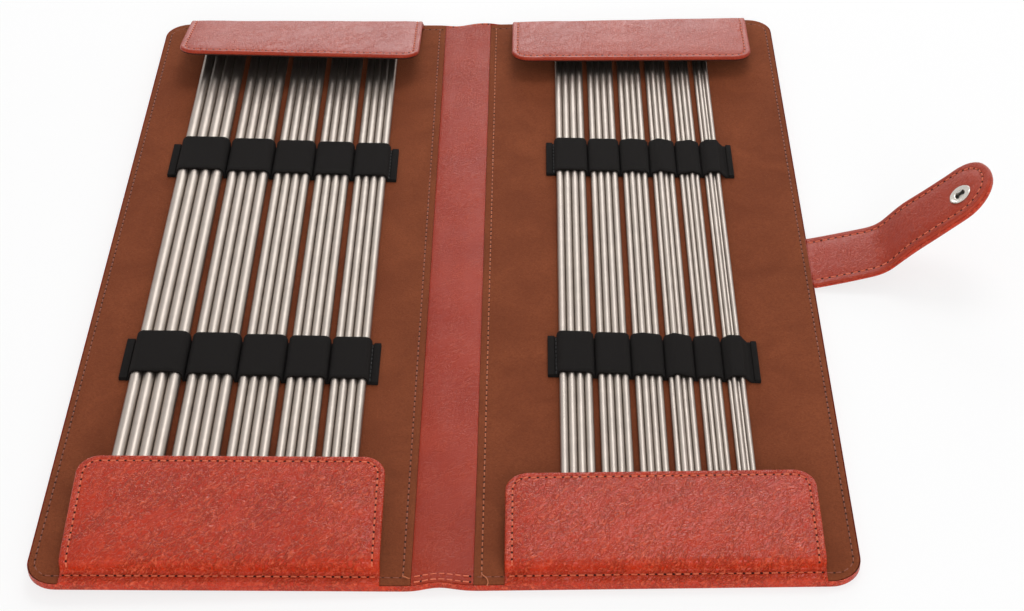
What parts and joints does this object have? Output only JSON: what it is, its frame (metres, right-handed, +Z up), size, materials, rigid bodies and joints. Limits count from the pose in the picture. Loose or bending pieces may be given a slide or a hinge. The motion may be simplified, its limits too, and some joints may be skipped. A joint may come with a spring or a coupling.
{
  "type": "knitting needle case",
  "caption": "Folding leather-look case, lying open, with elastic loops that hold sets of double-pointed needles, flaps over their ends and a strap with a press stud.",
  "frame": {"origin": "centre of the spine's underside, on the table", "axes": "+X across the case to the cover with the strap, +Y along the needles, +Z up"},
  "size_m": [0.3723, 0.385, 0.0452],
  "materials": {
    "red_leather": "glossy, finely creased",
    "brown_suede": "matt microsuede",
    "black_elastic": "woven elastic",
    "satin_steel": "satin",
    "spring_steel": "polished wire",
    "nickel": "bright nickel plate",
    "grey_board": "grey bookbinder's board",
    "foam": "thin foam"
  },
  "bodies": {
    "spine": {"spine_outer_skin": "red_leather", "spine_stiffener": "grey_board", "spine_inner_strip": "red_leather"},
    "left_cover": {"left_cover_skin": "red_leather", "left_cover_board": "grey_board", "left_cover_padding": "foam", "left_lining": "brown_suede", "left_lower_elastic": "black_elastic", "left_upper_elastic": "black_elastic", "left_bottom_hem": "red_leather", "left_top_hem": "red_leather", "snap_stud": "nickel", "snap_stud_rivet": "nickel"},
    "right_cover": {"right_cover_skin": "red_leather", "right_cover_board": "grey_board", "right_cover_padding": "foam", "right_lining": "brown_suede", "right_lower_elastic": "black_elastic", "right_upper_elastic": "black_elastic", "right_bottom_hem": "red_leather", "right_top_hem": "red_leather"},
    "left_bottom_flap": {"left_bottom_flap_fold": "red_leather", "left_bottom_flap_skin": "red_leather", "left_bottom_flap_board": "grey_board", "left_bottom_flap_backing": "red_leather"},
    "left_top_flap": {"left_top_flap_fold": "red_leather", "left_top_flap_skin": "red_leather", "left_top_flap_board": "grey_board", "left_top_flap_backing": "red_leather"},
    "right_bottom_flap": {"right_bottom_flap_fold": "red_leather", "right_bottom_flap_skin": "red_leather", "right_bottom_flap_board": "grey_board", "right_bottom_flap_backing": "red_leather"},
    "right_top_flap": {"right_top_flap_fold": "red_leather", "right_top_flap_skin": "red_leather", "right_top_flap_board": "grey_board", "right_top_flap_backing": "red_leather"},
    "strap_base": {"strap_base_outer": "red_leather", "strap_base_inner": "red_leather"},
    "strap_tip": {"strap_tip_outer": "red_leather", "strap_tip_inner": "red_leather", "strap_tip_stiffener": "grey_board", "snap_cap": "nickel", "snap_socket": "nickel", "snap_spring": "spring_steel"},
    "set_5_00": {"needles_5_00": "satin_steel"},
    "set_4_50": {"needles_4_50": "satin_steel"},
    "set_4_00": {"needles_4_00": "satin_steel"},
    "set_3_75": {"needles_3_75": "satin_steel"},
    "set_3_50": {"needles_3_50": "satin_steel"},
    "set_3_25": {"needles_3_25": "satin_steel"},
    "set_3_00": {"needles_3_00": "satin_steel"},
    "set_2_75": {"needles_2_75": "satin_steel"},
    "set_2_50": {"needles_2_50": "satin_steel"},
    "set_2_25": {"needles_2_25": "satin_steel"},
    "set_2_00": {"needles_2_00": "satin_steel"}
  },
  "joints": [
    {"name": "left_cover_fold", "type": "hinge", "parent": "spine", "child": "left_cover", "pos_m": [-0.0111, 0, 0.0035], "axis": [0, 1, 0], "range_deg": [0, 88.56]},
    {"name": "right_cover_fold", "type": "hinge", "parent": "spine", "child": "right_cover", "pos_m": [0.0111, 0, 0.0035], "axis": [0, -1, 0], "range_deg": [0, 90]},
    {"name": "left_bottom_flap_fold", "type": "hinge", "parent": "left_cover", "child": "left_bottom_flap", "pos_m": [-0.07921, -0.1875, 0.00611], "axis": [-0.9997, 0, 0.0252], "range_deg": [-133, 2]},
    {"name": "left_top_flap_fold", "type": "hinge", "parent": "left_cover", "child": "left_top_flap", "pos_m": [-0.07921, 0.1875, 0.00611], "axis": [0.9997, 0, -0.0252], "range_deg": [-128.2, 6.8]},
    {"name": "right_bottom_flap_fold", "type": "hinge", "parent": "right_cover", "child": "right_bottom_flap", "pos_m": [0.07925, -0.1875, 0.0044], "axis": [-1, 0, 0], "range_deg": [-134.5, 0.5]},
    {"name": "right_top_flap_fold", "type": "hinge", "parent": "right_cover", "child": "right_top_flap", "pos_m": [0.07925, 0.1875, 0.0044], "axis": [1, 0, 0], "range_deg": [-131.7, 3.3]},
    {"name": "strap_root_bend", "type": "hinge", "parent": "right_cover", "child": "strap_base", "pos_m": [0.1493, -0.0058, 0.0029], "axis": [0, -1, 0], "range_deg": [-10, 78]},
    {"name": "strap_tip_bend", "type": "hinge", "parent": "strap_base", "child": "strap_tip", "pos_m": [0.17796, -0.0058, 0.00899], "axis": [0, -1, 0], "range_deg": [-25, 62.5]},
    {"name": "slide_5_00", "type": "slide", "parent": "left_cover", "child": "set_5_00", "axis": [0, 1, 0], "range_m": [-0.006, 0.006]},
    {"name": "slide_4_50", "type": "slide", "parent": "left_cover", "child": "set_4_50", "axis": [0, 1, 0], "range_m": [-0.006, 0.006]},
    {"name": "slide_4_00", "type": "slide", "parent": "left_cover", "child": "set_4_00", "axis": [0, 1, 0], "range_m": [-0.006, 0.006]},
    {"name": "slide_3_75", "type": "slide", "parent": "left_cover", "child": "set_3_75", "axis": [0, 1, 0], "range_m": [-0.006, 0.006]},
    {"name": "slide_3_50", "type": "slide", "parent": "left_cover", "child": "set_3_50", "axis": [0, 1, 0], "range_m": [-0.006, 0.006]},
    {"name": "slide_3_25", "type": "slide", "parent": "right_cover", "child": "set_3_25", "axis": [0, 1, 0], "range_m": [-0.006, 0.006]},
    {"name": "slide_3_00", "type": "slide", "parent": "right_cover", "child": "set_3_00", "axis": [0, 1, 0], "range_m": [-0.006, 0.006]},
    {"name": "slide_2_75", "type": "slide", "parent": "right_cover", "child": "set_2_75", "axis": [0, 1, 0], "range_m": [-0.006, 0.006]},
    {"name": "slide_2_50", "type": "slide", "parent": "right_cover", "child": "set_2_50", "axis": [0, 1, 0], "range_m": [-0.006, 0.006]},
    {"name": "slide_2_25", "type": "slide", "parent": "right_cover", "child": "set_2_25", "axis": [0, 1, 0], "range_m": [-0.006, 0.006]},
    {"name": "slide_2_00", "type": "slide", "parent": "right_cover", "child": "set_2_00", "axis": [0, 1, 0], "range_m": [-0.006, 0.006]}
  ]
}
